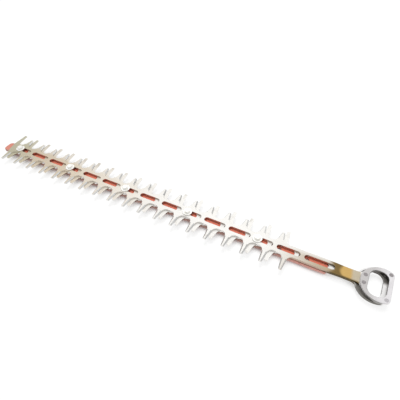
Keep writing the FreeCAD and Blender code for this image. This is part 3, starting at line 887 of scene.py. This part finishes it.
# The floor: its squares along a side, and how open to the room a place is where its full shadow gives way.
FLOOR_SQUARES = 8
OPEN_FLOOR = (0.18, 0.66)
OPEN_SAMPLES = 16

# Directions of the light, where each one's soft edge begins and ends, and the height of the pale horizon.
SOFT_BOX_TOWARDS = Vector((-0.22, 0.58, 0.78)).normalized()
FRONT_TOWARDS = Vector((0.0, -1.0, 0.0))
WINDOW_TOWARDS = Vector((0.80, -0.05, 0.60)).normalized()
LAMP_TOWARDS = Vector((-0.14, 0.22, 0.96))
SOFT_BOX_EDGE = (0.74, 0.985)
FRONT_EDGE = (-0.1, 0.6)
WINDOW_EDGE = (0.78, 0.94)
HORIZON_EDGE = (0.16, 0.06)

# Colours of the light, and the angle that the lamp fills.
SOFT_BOX_TONE = (1.0, 1.0, 0.99)
HORIZON = (0.92, 0.92, 0.92)
LAMP_ANGLE = math.radians(30)

# The camera's sensor in millimetres, its picture's shift in widths, and its range of sight in metres.
SENSOR_WIDTH = 36
CAMERA_SHIFT = (-0.00431, 0.00146)
CAMERA_SIGHT = (0.01, 50)


def floor_material(settings):
    """A pale floor, nearly white to the camera and reflections, with its full shadow close to the pieces."""
    material = bpy.data.materials.new("studio_floor")
    shading = Shading(material)
    plain = shading.add("BsdfDiffuse", Color=settings.floor).outputs[0]
    shaded = shading.add("BsdfDiffuse", Color=dimmed(settings.floor, settings.floor_depth)).outputs[0]
    lift = shading.add("Emission", Color=WHITE, Strength=settings.floor_lift).outputs[0]
    lifted = shading.join("AddShader", shaded, lift)
    openness = shading.add("AmbientOcclusion", Distance=settings.contact_reach)
    openness.samples = OPEN_SAMPLES
    seen = shading.join("MixShader", shading.ramp(openness.outputs["AO"], OPEN_FLOOR), plain, lifted)
    path = shading.add("LightPath").outputs
    in_sight = path["Is Camera Ray"]
    for name in ("Is Glossy Ray", "Is Transmission Ray"):
        in_sight = shading.math("MAXIMUM", in_sight, path[name])
    shading.add("OutputMaterial", Surface=shading.join("MixShader", in_sight, plain, seen))
    return material


def lay_floor(settings):
    """A square floor under the lowest point of the cutter."""
    mesh = bpy.data.meshes.new("studio_floor")
    shape = bmesh.new()
    bmesh.ops.create_grid(
        shape, x_segments=FLOOR_SQUARES, y_segments=FLOOR_SQUARES, size=settings.floor_size / 2)
    shape.to_mesh(mesh)
    shape.free()
    mesh.materials.append(floor_material(settings))
    floor = bpy.data.objects.new("studio_floor", mesh)
    floor.location = (middle_of("guide_bar").x, 0, FLOOR_LEVEL)
    bpy.context.scene.collection.objects.link(floor)


def light_room(settings):
    """A room with a soft box over the cutter's far side, a window beyond its yokes and a pale horizon."""
    world = bpy.data.worlds.new("studio_room")
    bpy.context.scene.world = world
    shading = Shading(world)
    towards = shading.add("TexCoord").outputs["Generated"]
    room = dimmed(WHITE, settings.fill_power)
    for direction, edge, light in (
            (FRONT_TOWARDS, FRONT_EDGE, dimmed(WHITE, settings.front_power)),
            (WINDOW_TOWARDS, WINDOW_EDGE, dimmed(WHITE, settings.window_power)),
            (SOFT_BOX_TOWARDS, SOFT_BOX_EDGE, dimmed(SOFT_BOX_TONE, settings.key_power))):
        room = shading.mix(shading.ramp(shading.agreement(towards, direction), edge), room, light)
    height = shading.split(towards)["Z"]
    room = shading.mix(shading.ramp(height, HORIZON_EDGE), room, HORIZON)
    background = shading.add("Background", Color=room)
    shading.add("OutputWorld", Surface=background.outputs[0])


def hang_lamp(settings):
    """The lamp whose soft shadow falls towards the camera."""
    lamp = bpy.data.lights.new("studio_lamp", "SUN")
    lamp.energy = settings.lamp_power
    lamp.angle = LAMP_ANGLE
    lamp_object = bpy.data.objects.new("studio_lamp", lamp)
    lamp_object.rotation_euler = LAMP_TOWARDS.to_track_quat("Z", "Y").to_euler()
    lamp_object.visible_glossy = False
    bpy.context.scene.collection.objects.link(lamp_object)


def place_camera(settings):
    """A camera at the photograph's viewing angle."""
    camera = bpy.data.cameras.new("studio_camera")
    camera.sensor_width = SENSOR_WIDTH
    camera.lens = settings.camera_lens
    camera.shift_x, camera.shift_y = CAMERA_SHIFT
    camera.clip_start, camera.clip_end = CAMERA_SIGHT
    camera_object = bpy.data.objects.new("studio_camera", camera)
    camera_object.location = settings.camera_place
    camera_object.rotation_euler = Euler(settings.camera_turn)
    bpy.context.scene.collection.objects.link(camera_object)
    bpy.context.scene.camera = camera_object


class CUTTER_OT_build_stage(bpy.types.Operator):
    """Lays the floor, lights the room and places the camera"""
    bl_idname = "cutter.build_stage"
    bl_label = "Build Stage"

    def execute(self, context):
        settings = context.scene.cutter.stage
        context.scene.view_settings.view_transform = "Standard"
        lay_floor(settings)
        light_room(settings)
        hang_lamp(settings)
        place_camera(settings)
        return {"FINISHED"}


class CUTTER_PT_panel(bpy.types.Panel):
    """Lists the cutter's settings and operators"""
    bl_idname = "CUTTER_PT_panel"
    bl_label = "Hedge Trimmer Blade"
    bl_space_type = "VIEW_3D"
    bl_region_type = "UI"
    bl_category = "Hedge Blade"

    def draw(self, context):
        cutter = context.scene.cutter
        for heading, settings, operators in (
                ("Blades", cutter.blade, (CUTTER_OT_finish_blades,)),
                ("Yokes", cutter.yoke, (CUTTER_OT_finish_yoke_plates, CUTTER_OT_finish_yoke_rivets)),
                ("Guide Bar", cutter.paint, (CUTTER_OT_finish_guide_bar,)),
                ("Fasteners", cutter.plating, (
                    CUTTER_OT_finish_fasteners,
                    CUTTER_OT_finish_slide_collars,
                    CUTTER_OT_finish_lock_rings)),
                ("Stage", cutter.stage, (CUTTER_OT_build_stage,))):
            box = self.layout.box()
            box.label(text=heading)
            for name in settings.__annotations__:
                box.prop(settings, name)
            for operator in operators:
                box.operator(operator.bl_idname)


CLASSES = (
    BladeFinish, YokeFinish, PaintFinish, PlatingFinish, StageSettings, CutterSettings,
    CUTTER_OT_finish_blades, CUTTER_OT_finish_yoke_plates, CUTTER_OT_finish_yoke_rivets,
    CUTTER_OT_finish_guide_bar, CUTTER_OT_finish_fasteners, CUTTER_OT_finish_slide_collars,
    CUTTER_OT_finish_lock_rings, CUTTER_OT_build_stage, CUTTER_PT_panel,
)


def register():
    """Registers the classes and the scene's settings."""
    for one in CLASSES:
        bpy.utils.register_class(one)
    bpy.types.Scene.cutter = PointerProperty(
        type=CutterSettings, name="Cutter", description="Settings of the hedge trimmer blade")


def unregister():
    """Takes the settings and the classes away again."""
    del bpy.types.Scene.cutter
    for one in reversed(CLASSES):
        bpy.utils.unregister_class(one)


def main():
    """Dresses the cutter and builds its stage."""
    register()
    bpy.ops.cutter.finish_blades()
    bpy.ops.cutter.finish_yoke_plates()
    bpy.ops.cutter.finish_yoke_rivets()
    bpy.ops.cutter.finish_guide_bar()
    bpy.ops.cutter.finish_fasteners()
    bpy.ops.cutter.finish_slide_collars()
    bpy.ops.cutter.finish_lock_rings()
    bpy.ops.cutter.build_stage()


if __name__ == "__main__":
    main()
